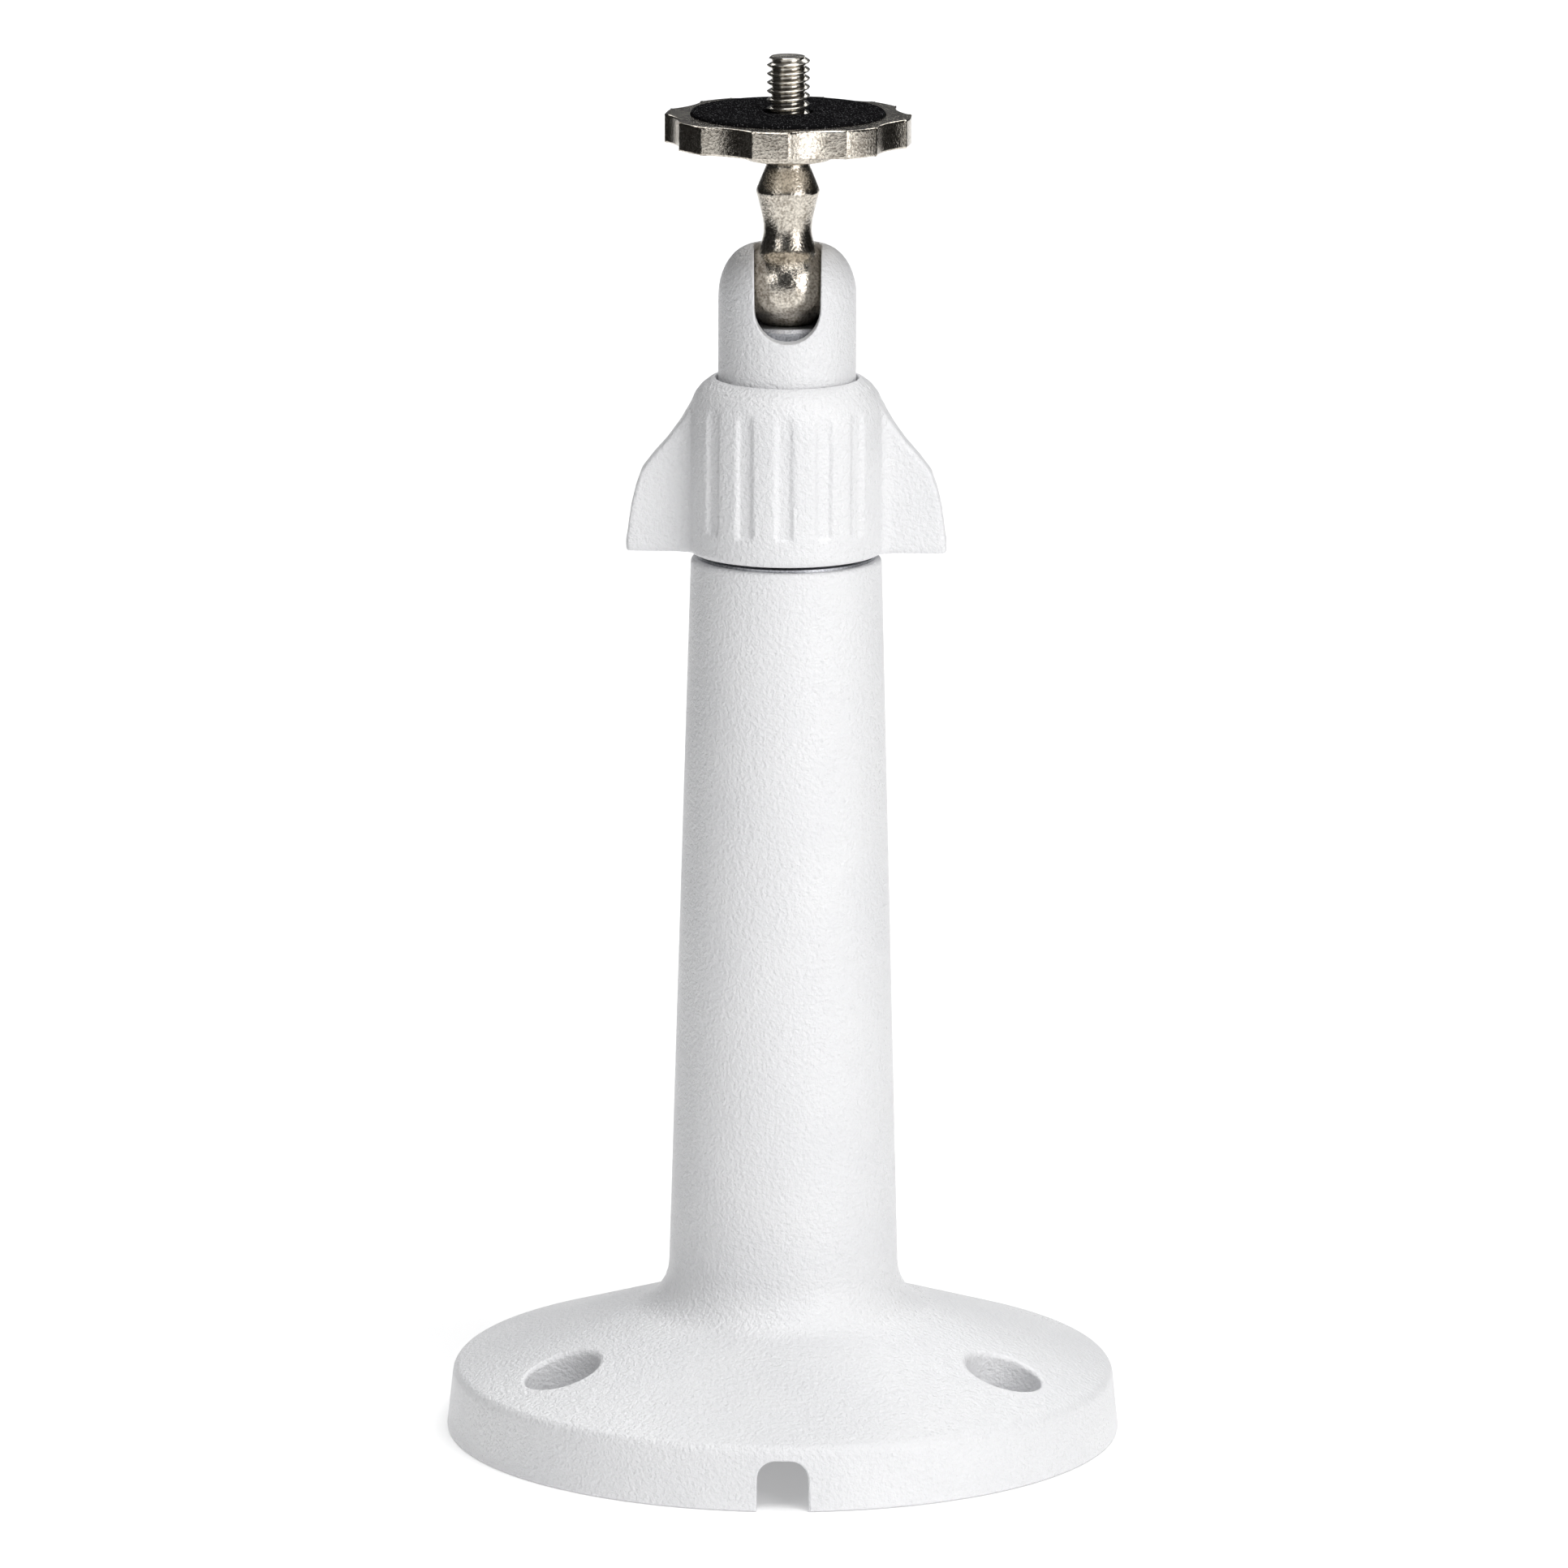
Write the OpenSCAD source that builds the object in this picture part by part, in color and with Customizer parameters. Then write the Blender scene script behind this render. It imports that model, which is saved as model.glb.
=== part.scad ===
// Mounting bracket for a security camera: a flanged pedestal with a clamped ball joint
// and a 1/4"-20 camera screw. The origin is the centre of the base's underside and +Z points
// up the column. The cable notch and the slot of the socket head face -Y.

/* [Base] */
// Diameter of the base where it meets the wall
base_d = 100; // [80:1:140]
// How far the side wall leans in over its height
base_draft = 1; // [0:0.1:2]
// Height of the side wall
rim_h = 9.2; // [8.5:0.1:14]
// Rounding of the rim's upper edge
rim_round = 1.8; // [0.5:0.1:3]
// Slope of the base's upper face, in degrees
top_slope = 18.5; // [8:0.5:24]
// Wall thickness of the hollow base
base_wall = 3; // [2:0.1:4]

/* [Column] */
// Height of the column's upper end above the wall
column_top = 131.5; // [80:0.5:240]
// Width of the column's end face outside the spigot's collar
column_step = 0.9; // [0.5:0.1:4]
// How much the column's radius grows towards its foot
column_taper = 3.1; // [0.5:0.1:8]
// Fillet between the column and the base
column_fillet = 7.5; // [2:0.5:12]
// Wall thickness of the hollow column
column_wall = 3; // [2:0.1:3.5]
// Wall thickness of the column around the spigot's stem
pocket_wall = 4.5; // [3:0.1:6]

/* [Wall screws] */
// Number of wall screws
screw_count = 3; // [3:1:4]
// Distance of each wall screw from the base's edge
screw_inset = 12.5; // [11:0.1:16]
// Diameter of each screw hole
screw_hole_d = 5.5; // [3.5:0.1:6.5]
// Diameter of the recess for each screw's head
screw_recess_d = 11; // [9:0.1:12]
// Thickness of metal under each screw's head
screw_seat_h = 3.5; // [2:0.1:5]
// Wall thickness around each recess
boss_wall = 1.6; // [1:0.1:2.5]

/* [Cable notch] */
// Width of the notch in the rim
notch_w = 7.5; // [5:0.1:10]
// Height of the notch above the wall
notch_h = 7.3; // [4:0.1:7.5]
// Rounding of the notch's upper corners
notch_round = 2.6; // [0.5:0.1:3]

/* [Threaded spigot] */
// How far the clamping thread stands out beyond the socket head
clamp_ledge = 1.9; // [1.6:0.1:4]
// Pitch of the clamping thread
thread_pitch = 1.5; // [1:0.25:2]
// Length of the spigot above the column, with its thread
spigot_h = 20.5; // [16:0.1:26]
// Length of the stem that is pressed into the column
stem_h = 14; // [8:0.5:20]
// Width of the bare collar that shows under the nut
collar_w = 1.1; // [0.5:0.1:1.5]
// Thickness of the bare collar
collar_h = 0.35; // [0.2:0.05:0.6]
// Metal between the pocket and the hollow of the column
web_h = 5; // [3:0.5:10]

/* [Spigot bolt] */
// Shank diameter of the bolt that holds the spigot down
bolt_d = 6; // [4:1:8]
// Diameter of the bolt's head
bolt_head_d = 10; // [8:0.5:13]
// Height of the bolt's head
bolt_head_h = 6; // [4:0.5:8]
// Length of the bolt in the spigot
bolt_grip = 14; // [8:0.5:20]
// Diameter of the washer under the bolt's head
washer_d = 14; // [12:0.5:16]
// Thickness of the washer
washer_h = 1.6; // [1:0.1:2.5]

/* [Wing nut] */
// Gap between the column and the clamped nut
nut_gap = 0.8; // [0.5:0.1:2]
// Wall thickness of the nut around its thread
nut_wall = 2.3; // [1.8:0.1:4]
// Thickness of the nut's shoulder over the slip washer
nut_shoulder = 3.7; // [2:0.1:5]
// Rounding of the nut's upper edge
nut_round = 6; // [3:0.1:7]
// Reach of each wing beyond the body
wing_reach = 9.1; // [5:0.1:14]
// Thickness of each wing
wing_t = 4; // [3:0.1:6]
// Fillet between a wing and the body
wing_fillet = 2.5; // [1:0.1:4]
// Width of each grip flute
flute_w = 2.6; // [1.5:0.1:3]
// Depth of each grip flute
flute_depth = 0.45; // [0.2:0.05:0.8]
// Angle between neighbouring flutes, in degrees
flute_pitch = 24; // [18:1:26]
// Angle at which the tightened nut has stopped, in degrees
nut_clock = -1.5; // [-30:0.5:30]

/* [Socket head] */
// Diameter of the ball
ball_d = 13.5; // [11:0.1:18]
// Wall thickness of the head around the ball
head_wall = 3.15; // [2.4:0.05:4]
// Height of the ball's centre above the end of the spigot
ball_rise = 19.9; // [17.5:0.1:26]
// Height of the head's crown above the ball's centre, as a share of the ball's radius
crown_share = 0.867; // [0.82:0.001:0.92]
// Diameter of the mouth around the neck, as a share of the ball's diameter
mouth_share = 0.74; // [0.7:0.005:0.8]
// Depth of the neck's slot below the ball
slot_extra = 0.5; // [0:0.05:1.5]
// Thickness of the flange that the nut holds down
flange_h = 2.2; // [1.5:0.1:3]
// Thickness of the slip washer
slip_h = 0.5; // [0.3:0.1:1]

/* [Ball stud] */
// Gap on each side of the neck in its slot
neck_gap = 1.345; // [0.8:0.005:2]
// Diameter of the ridge
ridge_d = 9.3; // [8:0.1:11]
// Height of the ridge above the ball
ridge_rise = 7.2; // [5.5:0.05:12]
// Height of the stud's end above the ridge
stud_h = 4.4; // [3:0.05:8]

/* [Camera screw] */
// Outer diameter of the 1/4"-20 thread
screw_d = 6.3; // [5:0.01:8]
// Pitch of the 1/4"-20 thread
screw_pitch = 1.27; // [1:0.01:1.5]
// Length of the screw above the stud
screw_len = 15.3; // [13:0.1:20]
// Depth of the screw's plain shank in the stud
shank_h = 9; // [5:0.5:12]

/* [Lock disc] */
// Diameter of the disc over its lobes
disc_d = 36; // [29:0.5:46]
// Thickness of the disc's rim
disc_h = 4.2; // [3:0.1:6]
// Number of lobes round the rim
lobe_count = 8; // [6:1:12]
// Share of each pitch that the scallop takes
scallop_share = 0.615; // [0.4:0.005:0.7]
// Radius of each scallop
scallop_r = 12; // [8:0.5:20]
// Diameter of the hub under the disc
hub_d = 13.4; // [10:0.1:16]
// Height of the hub under the disc
hub_h = 2.35; // [1:0.05:4]
// Width of the disc's rim around the grip pad
pad_inset = 3.8; // [3:0.1:5]
// Thickness of the grip pad
pad_h = 1.35; // [1:0.05:2]
// How far the pad stands above the disc
pad_proud = 0.55; // [0.2:0.05:0.9]

/* [Fits] */
// Radial gap of parts that turn in each other
turn_gap = 0.1; // [0.05:0.01:0.2]
// Radial gap of the ball in its socket
ball_gap = 0.05; // [0.03:0.01:0.1]
// Radial gap of loose parts
loose_gap = 0.3; // [0.2:0.05:0.5]

/* [Hidden] */
$fn = 96;
// how far a cutter runs past the face it cuts
over = 1;

paint = "white";
bare_metal = "lightgray";
nickel = "tan";
zinc = "silver";
rubber = [0.08, 0.08, 0.08];
nylon = "ivory";

// Ball and the head around it
ball_r = ball_d / 2;
socket_r = ball_r + ball_gap;
seat_r = ball_r + turn_gap;
head_bore_r = seat_r + turn_gap;
head_r = head_bore_r + head_wall;
mouth_r = ball_r * mouth_share;
slot_half = mouth_r - 0.15;
waist_r = slot_half - neck_gap;
crown_h = ball_r * crown_share;

// Spigot and its bolt
thread_r = head_r + clamp_ledge;
spigot_end = column_top + spigot_h;
collar_r = thread_r + collar_w;
pocket_z = column_top - stem_h;

// Base and column
base_r = base_d / 2;
rim_r = base_r - base_draft;
screw_circle_r = base_r - screw_inset;
top_r = collar_r + column_step;
stem_r = top_r - pocket_wall;
foot_r = top_r + column_taper;
foot_z = slope_z(foot_r);
core_foot_r = foot_r - column_wall;
core_top_z = column_top - stem_h - web_h;
core_top_r = column_r(core_top_z) - column_wall;
under_drop = base_wall / cos(top_slope);
boss_r = screw_recess_d / 2 + boss_wall;

// Heights of the ball, its seat and the head
ball_z = spigot_end + ball_rise;
crown_z = ball_z + crown_h;
seat_top_z = ball_z - ball_r * 0.84;
flange_lift = 0.4;
flange_z = spigot_end + flange_lift;

// Slip washer and nut
slip_z = flange_z + flange_h;
shoulder_z = slip_z + slip_h;
nut_z = column_top + nut_gap;
nut_end = shoulder_z + nut_shoulder;
nut_bore_r = thread_r + turn_gap;
nut_r = nut_bore_r + nut_wall;
nut_mouth_r = head_r + loose_gap;
flange_r = nut_bore_r - 0.5;
slip_r = nut_bore_r - 0.3;
wing_r = nut_r + wing_reach;
wing_h = nut_end - nut_z;

// Stud, camera screw and lock disc
ridge_z = ball_z + ball_r + ridge_rise;
stud_end = ridge_z + stud_h;
screw_r = screw_d / 2;
shank_r = screw_r - screw_pitch * 0.75;
stud_end_r = screw_r + 0.05;
screw_end = stud_end + screw_len;
hub_z = stud_end + 0.2;
disc_z = hub_z + hub_h;
disc_top = disc_z + disc_h;
disc_r = disc_d / 2;
pad_r = disc_r - pad_inset;
pad_top = disc_top + pad_proud;
pad_z = pad_top - pad_h;
disc_bore_r = screw_r + turn_gap;

// Height of the base's sloping upper face at radius r
function slope_z(r) = rim_h + (rim_r - r) * tan(top_slope);

// Radius of the column's tapered outside at height z
function column_r(z) = foot_r - column_taper * (z - foot_z) / (column_top - foot_z);

function unit(v) = v / norm(v);

// Arc of radius r that rounds corner b between the points a and c
function corner(a, b, c, r, n = 8) =
    let (u = unit(a - b), v = unit(c - b))
    let (half = acos(u * v) / 2)
    let (centre = b + unit(u + v) * r / sin(half))
    let (from = b + u * r / tan(half) - centre)
    let (to = b + v * r / tan(half) - centre)
    let (start = atan2(from.y, from.x))
    let (turn = (atan2(to.y, to.x) - start + 900) % 360 - 180)
    [for (i = [0 : n]) centre + r * [cos(start + turn * i / n), sin(start + turn * i / n)]];

// Outline through points [x, y] or [x, y, rounding]
function rounded(path) =
    let (n = len(path))
    let (flat = [for (p = path) [p.x, p.y]])
    [for (i = [0 : n - 1]) each
        len(path[i]) == 3
            ? corner(flat[(i + n - 1) % n], flat[i], flat[(i + 1) % n], path[i][2])
            : [flat[i]]];

// Outline of a ringed thread of outer radius r, from z1 up to z2; groove is the share of each
// pitch that a groove takes at the crest, and depth is the groove's depth
function thread_edge(r, pitch, groove, depth, z1, z2) =
    let (turns = floor((z2 - z1) / pitch))
    concat(
        [for (i = [0 : turns - 1]) each [
            [r, z1 + i * pitch],
            [r, z1 + (i + 1 - groove) * pitch],
            [r - depth, z1 + (i + 1 - groove / 2) * pitch]]],
        [[r, z1 + turns * pitch], [r, z2]]);

module turned(path) {
    rotate_extrude() polygon(rounded(path));
}

// Ring between two radii, standing on height z
module ring(r_out, r_in, z, h) {
    translate([0, 0, z]) difference() {
        cylinder(r = r_out, h = h);
        translate([0, 0, -over]) cylinder(r = r_in, h = h + 2 * over);
    }
}

module at_wall_screws() {
    for (i = [0 : screw_count - 1])
        rotate(90 + i * 360 / screw_count) translate([screw_circle_r, 0, 0]) children();
}

// One casting: flange, column, screw bosses and the pocket for the spigot
module pedestal() {
    under_r = rim_r - base_wall;
    color(paint) difference() {
        union() {
            difference() {
                turned([
                    [0, 0], [base_r, 0, 0.3], [rim_r, rim_h, rim_round],
                    [foot_r, foot_z, column_fillet], [top_r, column_top, 0.7],
                    [0, column_top]]);
                turned([
                    [0, -over], [base_r - base_wall, -over],
                    [under_r, slope_z(under_r) - under_drop, 1.5],
                    [core_foot_r, slope_z(core_foot_r) - under_drop, column_fillet],
                    [core_top_r, core_top_z, 2], [0, core_top_z]]);
            }
            screw_bosses();
        }
        at_wall_screws() translate([0, 0, -over]) cylinder(d = screw_hole_d, h = screw_seat_h + 2 * over);
        at_wall_screws() translate([0, 0, screw_seat_h]) cylinder(d = screw_recess_d, h = rim_h + foot_z);
        cable_notch();
        translate([0, 0, pocket_z]) cylinder(r = stem_r, h = stem_h + over);
        translate([0, 0, core_top_z - over]) cylinder(d = bolt_d + 0.6, h = web_h + 2 * over);
    }
}

// Bosses that reach from the wall up into the base's sloping top
module screw_bosses() {
    intersection() {
        at_wall_screws() cylinder(r = boss_r, h = foot_z);
        turned([
            [0, 0], [rim_r - 0.5, 0], [rim_r - 0.5, slope_z(rim_r - 0.5) - under_drop / 2],
            [foot_r, foot_z - under_drop / 2], [0, foot_z - under_drop / 2]]);
    }
}

module cable_notch() {
    half = notch_w / 2;
    rotate([90, 0, 0]) linear_extrude(base_r + over)
        polygon(rounded([
            [-half, -over], [half, -over], [half, notch_h, notch_round], [-half, notch_h, notch_round]]));
}

// Bare aluminium stem, collar and clamping thread
module spigot() {
    thread_z = column_top + collar_h + 1;
    thread_depth = thread_pitch * 0.61;
    neck_r = thread_r - thread_depth;
    color(bare_metal) difference() {
        rotate_extrude() polygon(concat(
            [[0, pocket_z], [stem_r - 0.5, pocket_z], [stem_r, pocket_z + 0.5],
                [stem_r, column_top], [collar_r, column_top], [collar_r, column_top + collar_h],
                [neck_r, column_top + collar_h]],
            thread_edge(thread_r, thread_pitch, 0.875, thread_depth, thread_z, spigot_end - 0.5),
            [[neck_r, spigot_end], [0, spigot_end]]));
        translate([0, 0, pocket_z - over]) cylinder(d = bolt_d, h = bolt_grip + 1 + over);
    }
}

// Cap screw that is driven up the column's hollow into the spigot
module spigot_bolt() {
    head_top = core_top_z - washer_h;
    head_z = head_top - bolt_head_h;
    hex_r = bolt_d * 0.48;
    color(zinc) difference() {
        union() {
            turned([
                [0, head_z], [bolt_head_d / 2, head_z, 0.6], [bolt_head_d / 2, head_top], [0, head_top]]);
            translate([0, 0, head_top]) cylinder(d = bolt_d, h = washer_h + web_h + bolt_grip);
        }
        translate([0, 0, head_z - over]) cylinder(r = hex_r, h = bolt_head_h / 2 + over, $fn = 6);
    }
}

module bolt_washer() {
    color(zinc) ring(washer_d / 2, bolt_d / 2 + 0.2, core_top_z - washer_h, washer_h);
}

// Clamping nut with two wings, grip flutes and a domed shoulder
module wing_nut() {
    color(paint) rotate(nut_clock) difference() {
        union() {
            turned([
                [0, nut_z], [nut_r, nut_z, 0.7], [nut_r - 0.15, nut_end, nut_round], [0, nut_end]]);
            wings();
        }
        translate([0, 0, nut_z - over]) cylinder(r = nut_bore_r, h = shoulder_z - nut_z + over);
        translate([0, 0, nut_z]) cylinder(r = nut_mouth_r, h = wing_h + over);
        flutes();
    }
}

// Both wings: their plan, cut to their outline as seen from the front
module wings() {
    intersection() {
        translate([0, 0, nut_z]) linear_extrude(wing_h) wing_plan();
        rotate([90, 0, 0]) translate([0, 0, -nut_r]) linear_extrude(2 * nut_r)
            for (side = [0, 1]) mirror([side, 0]) polygon(wing_outline());
    }
}

// One wing's outline; its shoulder runs out of the nut's dome
function wing_outline() = rounded([
    [nut_bore_r + 0.5, nut_z],
    [wing_r - 0.2, nut_z + 0.4, 0.6],
    [wing_r - 0.9, nut_z + 0.29 * wing_h, 9],
    [nut_r + 0.71 * wing_reach, nut_z + 0.48 * wing_h, 3],
    [nut_r + 0.34 * wing_reach, nut_z + 0.63 * wing_h, 12],
    [nut_bore_r + 0.5, nut_z + 0.895 * wing_h]]);

// Plan of the wings: two bars with a fillet on each side where they leave the round body
module wing_plan() {
    half = wing_t / 2;
    tip_half = half - 0.4;
    root_x = sqrt(pow(nut_r + wing_fillet, 2) - pow(half + wing_fillet, 2));
    for (side = [0, 1]) mirror([side, 0]) {
        polygon(rounded([
            [0, -half], [wing_r, -tip_half, 1.2], [wing_r, tip_half, 1.2], [0, half]]));
        for (face = [0, 1]) mirror([0, face]) difference() {
            polygon([[0, 0], [root_x, 0], [root_x, half], [root_x * 0.97, half + wing_fillet], [0, half]]);
            translate([root_x, half + wing_fillet]) circle(r = wing_fillet);
        }
    }
}

module flutes() {
    foot = nut_z + 4;
    for (side = [0, 1], i = [-2 : 2])
        rotate(side * 180 - 90 + i * flute_pitch)
            translate([nut_r - 0.05 - flute_depth, -flute_w / 2, foot])
                cube([nut_wall + over, flute_w, wing_h]);
}

module slip_washer() {
    color(nylon) ring(slip_r, head_r + turn_gap * 2, slip_z, slip_h);
}

// Slotted socket that caps the ball; the nut holds its flange down
module socket_head() {
    // radial and vertical half-axes of the rounded shoulder
    shoulder_w = head_r - mouth_r + 0.15;
    shoulder_h = crown_h + 1.6;
    steps = 12;
    color(paint) difference() {
        rotate_extrude() polygon(concat(
            [[0, flange_z], [flange_r, flange_z], [flange_r, slip_z], [head_r, slip_z]],
            [for (i = [0 : steps]) [
                head_r - shoulder_w * (1 - cos(90 * i / steps)),
                crown_z - shoulder_h * (1 - sin(90 * i / steps))]],
            [[0, crown_z]]));
        socket_cavity();
        neck_slot();
    }
}

// Bore for the seat, the socket's ball and the mouth, as one turned cutter
module socket_cavity() {
    // angle above the horizontal at which the ball's wall meets the mouth
    mouth_angle = acos(mouth_r / socket_r);
    steps = 10;
    rotate_extrude() polygon(concat(
        [[0, flange_z - over], [head_bore_r, flange_z - over], [head_bore_r, ball_z]],
        [for (i = [0 : steps])
            [socket_r * cos(mouth_angle * i / steps), ball_z + socket_r * sin(mouth_angle * i / steps)]],
        [[mouth_r, crown_z + over], [0, crown_z + over]]));
}

// U-shaped slot through the front of the head
module neck_slot() {
    round_z = ball_z - ball_r - slot_extra + slot_half;
    rotate([90, 0, 0]) linear_extrude(head_r + over) union() {
        translate([0, round_z]) circle(r = slot_half);
        translate([-slot_half, round_z]) square([2 * slot_half, crown_z + over - round_z]);
    }
}

// Plunger that the ball sits on, standing on the end of the spigot
module ball_seat() {
    color(bare_metal) difference() {
        turned([[0, spigot_end], [seat_r, spigot_end], [seat_r, seat_top_z - 0.5], [seat_r - 0.5, seat_top_z],
            [0, seat_top_z]]);
        translate([0, 0, ball_z]) sphere(r = socket_r);
    }
}

// Ball and neck in one casting, bored for the screw's shank
module ball_stud() {
    ridge_r = ridge_d / 2;
    root_r = ball_r * 0.68;
    color(nickel) difference() {
        union() {
            translate([0, 0, ball_z]) sphere(r = ball_r);
            turned([
                [0, ball_z], [root_r, ball_z + sqrt(pow(ball_r, 2) - pow(root_r, 2))],
                [waist_r + 0.2, ball_z + 0.88 * ball_r], [waist_r, ball_z + ball_r + 0.3],
                [waist_r + 0.05, ball_z + ball_r + 2.3, 8], [ridge_r - 0.1, ridge_z - 0.7],
                [ridge_r, ridge_z], [ridge_r - 0.3, ridge_z + 0.8],
                [stud_end_r, stud_end - 0.6], [stud_end_r, stud_end], [0, stud_end]]);
        }
        translate([0, 0, stud_end - shank_h]) cylinder(r = shank_r, h = shank_h + over);
    }
}

// Steel 1/4"-20 screw cast into the stud by a plain shank; its thread is drawn as shallow rings,
// with a relief at the grip pad's level
module camera_screw() {
    relief_z = pad_top - 0.25;
    relief_h = 0.6;
    relief_r = screw_r - 0.45;
    chamfer = 0.5;
    color(nickel) rotate_extrude() polygon(concat(
        [[0, stud_end - shank_h], [shank_r, stud_end - shank_h], [shank_r, stud_end]],
        thread_edge(screw_r, screw_pitch, 0.35, 0.4, stud_end, relief_z),
        [[relief_r, relief_z], [relief_r, relief_z + relief_h]],
        thread_edge(screw_r, screw_pitch, 0.35, 0.4, relief_z + relief_h, screw_end - chamfer),
        [[screw_r - chamfer, screw_end], [0, screw_end]]));
}

// Scalloped disc that jams the camera against the screw's thread
module lock_disc() {
    pitch_angle = 360 / lobe_count;
    half_scallop = pitch_angle * scallop_share / 2;
    scallop_x = disc_r * cos(half_scallop) + sqrt(pow(scallop_r, 2) - pow(disc_r * sin(half_scallop), 2));
    first_lobe = -98;
    color(nickel) difference() {
        union() {
            turned([
                [0, disc_z], [disc_r, disc_z, 0.4], [disc_r, disc_top, 0.4], [0, disc_top]]);
            turned([
                [0, hub_z], [hub_d / 2, hub_z, 0.6], [hub_d / 2, disc_z + 1], [0, disc_z + 1]]);
        }
        for (i = [0 : lobe_count - 1])
            rotate(first_lobe + (i + 0.5) * pitch_angle) translate([scallop_x, 0, disc_z - over])
                cylinder(r = scallop_r, h = disc_h + 2 * over);
        translate([0, 0, hub_z - over]) cylinder(r = disc_bore_r, h = disc_top - hub_z + 2 * over);
        translate([0, 0, pad_z]) cylinder(r = pad_r + 0.1, h = pad_h);
    }
}

module grip_pad() {
    color(rubber) turned([
        [disc_bore_r + 0.3, pad_z], [pad_r, pad_z], [pad_r, pad_top, 0.4],
        [disc_bore_r + 0.3, pad_top, 0.3]]);
}

pedestal();
spigot();
spigot_bolt();
bolt_washer();
wing_nut();
slip_washer();
socket_head();
ball_seat();
ball_stud();
camera_screw();
lock_disc();
grip_pad();
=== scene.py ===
import math

import bpy
import mathutils
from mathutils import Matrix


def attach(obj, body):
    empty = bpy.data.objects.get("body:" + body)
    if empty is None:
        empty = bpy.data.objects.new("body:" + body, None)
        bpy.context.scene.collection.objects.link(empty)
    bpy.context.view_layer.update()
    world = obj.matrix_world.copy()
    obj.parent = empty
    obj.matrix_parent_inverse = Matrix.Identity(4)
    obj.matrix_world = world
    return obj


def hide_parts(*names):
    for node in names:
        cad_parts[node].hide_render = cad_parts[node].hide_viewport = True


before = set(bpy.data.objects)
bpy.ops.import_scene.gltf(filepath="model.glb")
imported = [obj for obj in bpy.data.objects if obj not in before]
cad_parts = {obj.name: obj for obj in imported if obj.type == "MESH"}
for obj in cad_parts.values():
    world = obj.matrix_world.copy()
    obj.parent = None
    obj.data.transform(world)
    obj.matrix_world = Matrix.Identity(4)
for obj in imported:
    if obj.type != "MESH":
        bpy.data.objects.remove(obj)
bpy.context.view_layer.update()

# Looks of a wall bracket for a security camera: a powder coated pedestal, wing nut and socket
# head, a nickel plated ball stud, lock disc and camera screw, and a rubber grip pad.
# Lengths in the dictionaries are millimetres and become metres by mm().


def mm(value):
    return value * 0.001


# tools for modelling

def deselectAll():
    if bpy.context.mode != "OBJECT":
        bpy.ops.object.mode_set(mode="OBJECT")
    bpy.ops.object.select_all(action="DESELECT")


def selectOnly(piece):
    deselectAll()
    piece.select_set(True)
    bpy.context.view_layer.objects.active = piece


def editOn(piece):
    selectOnly(piece)
    bpy.ops.object.mode_set(mode="EDIT")
    bpy.ops.mesh.select_mode(type="VERT")


def editOff():
    bpy.ops.object.mode_set(mode="OBJECT")


def faceOutwards():
    # the last step of an edit: every face turned outwards, and edit mode left
    bpy.ops.mesh.select_all(action="SELECT")
    bpy.ops.mesh.normals_make_consistent(inside=False)
    editOff()


def weldDoubles():
    bpy.ops.mesh.select_all(action="SELECT")
    bpy.ops.mesh.remove_doubles(threshold=mm(0.002))


def pick(piece, kind, test):
    # selects, in edit mode, what passes the test: a vertex on its place, an edge on the places of
    # its two ends and a face on its centre and normal, all in millimetres
    bpy.ops.object.mode_set(mode="OBJECT")
    mesh = piece.data
    for group in (mesh.vertices, mesh.edges, mesh.polygons):
        group.foreach_set("select", [False] * len(group))
    if kind == "VERT":
        for vertex in mesh.vertices:
            vertex.select = test(vertex.co * 1000)
    elif kind == "EDGE":
        for edge in mesh.edges:
            a, b = (mesh.vertices[i].co * 1000 for i in edge.vertices)
            edge.select = test(a, b)
    else:
        for face in mesh.polygons:
            face.select = test(face.center * 1000, face.normal)
    bpy.ops.object.mode_set(mode="EDIT")
    bpy.ops.mesh.select_mode(type=kind)


def arcPoints(before, at, after, radius, count=6):
    # points of the arc that rounds the corner `at` of a path
    at = mathutils.Vector(at)
    u = (mathutils.Vector(before) - at).normalized()
    v = (mathutils.Vector(after) - at).normalized()
    half = math.acos(max(-1, min(1, u.dot(v)))) / 2
    centre = at + (u + v).normalized() * radius / math.sin(half)
    start = at + u * radius / math.tan(half) - centre
    end = at + v * radius / math.tan(half) - centre
    turn = math.atan2(start.x * end.y - start.y * end.x, start.dot(end))
    points = []
    for i in range(count + 1):
        angle = turn * i / count
        points.append((
            centre.x + start.x * math.cos(angle) - start.y * math.sin(angle),
            centre.y + start.x * math.sin(angle) + start.y * math.cos(angle)))
    return points


def roundedPath(path, closed=True):
    # points (across, up) or (across, up, rounding) made a plain list of points
    points = []
    count = len(path)
    for i, point in enumerate(path):
        if len(point) == 3:
            before, after = path[(i - 1) % count][:2], path[(i + 1) % count][:2]
            points += arcPoints(before, point[:2], after, point[2])
        else:
            points.append(point)
    return points + ([points[0]] if closed else [])


def drawProfile(name, points):
    # an outline in the plane y = 0, drawn vertex by vertex; it stays in edit mode
    deselectAll()
    r, z = points[0]
    bpy.ops.mesh.primitive_plane_add(size=mm(1), location=(0, 0, 0))
    piece = bpy.context.object
    piece.name = piece.data.name = name
    editOn(piece)
    bpy.ops.mesh.select_all(action="SELECT")
    bpy.ops.mesh.merge(type="CENTER")
    bpy.ops.transform.translate(value=(mm(r), 0, mm(z)))
    for nextR, nextZ in points[1:]:
        bpy.ops.mesh.extrude_vertices_move(
            TRANSFORM_OT_translate={"value": (mm(nextR - r), 0, mm(nextZ - z))})
        r, z = nextR, nextZ
    return piece


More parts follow.
